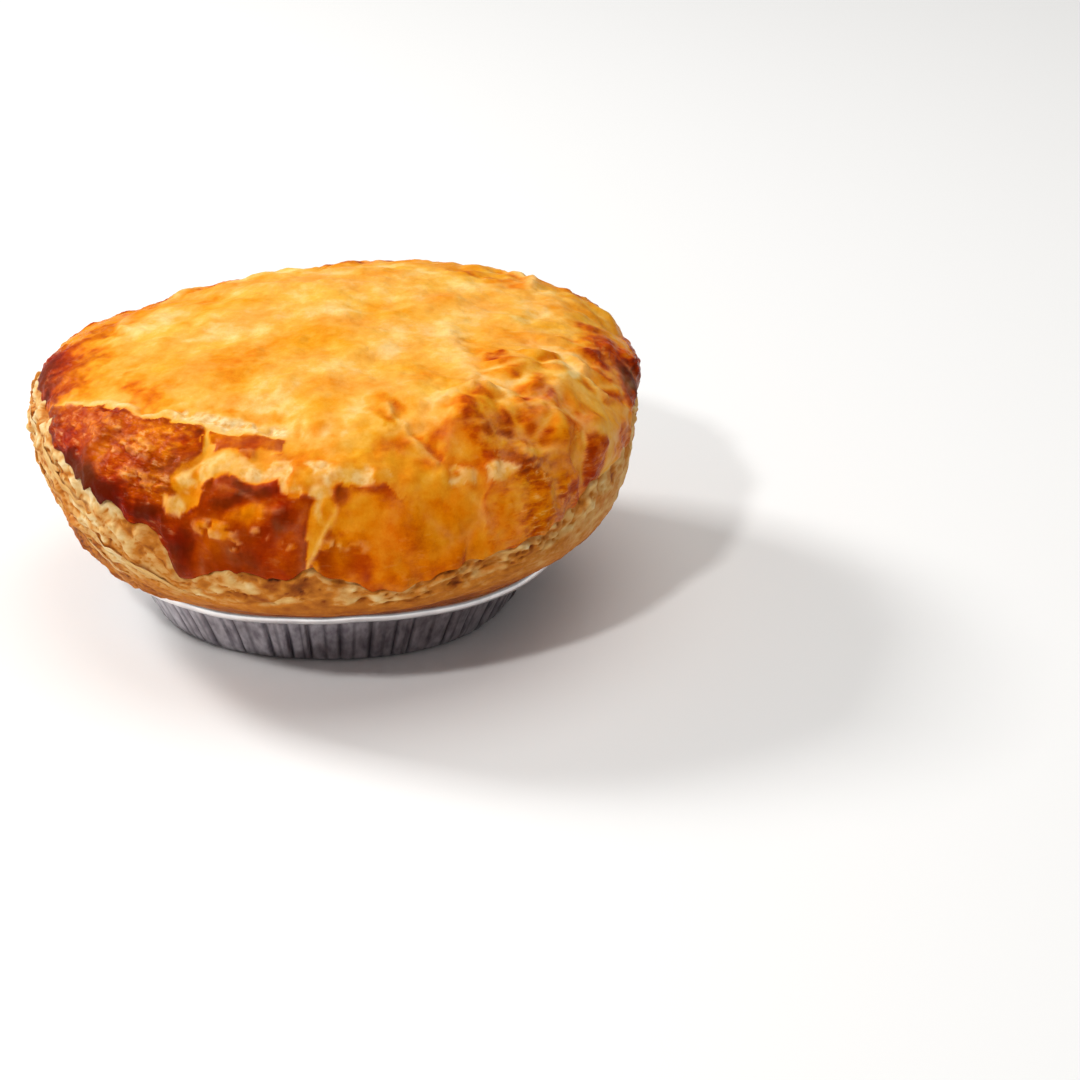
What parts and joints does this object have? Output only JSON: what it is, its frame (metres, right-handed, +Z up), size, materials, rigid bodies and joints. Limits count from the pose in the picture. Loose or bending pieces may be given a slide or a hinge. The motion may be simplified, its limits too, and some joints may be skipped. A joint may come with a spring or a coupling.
{
  "type": "chicken pot pie in a foil tin",
  "caption": "Round single-serving chicken pot pie with a risen puff pastry lid and an overhanging flaky lip, uncut, sitting in its own shallow pleated foil tin.",
  "frame": {"origin": "centre of the tin's flat base, on the surface that it stands on", "axes": "+Z up through the lid, -Y towards the pie's front, +X to the right seen from the front"},
  "size_m": [0.0993, 0.0992, 0.0452],
  "materials": {
    "pressed_foil": "thin pressed foil, pleated, half bright",
    "baked_puff_pastry": null
  },
  "bodies": {
    "root": {"foil_tin": "pressed_foil", "pie": "baked_puff_pastry"}
  },
  "joints": []
}
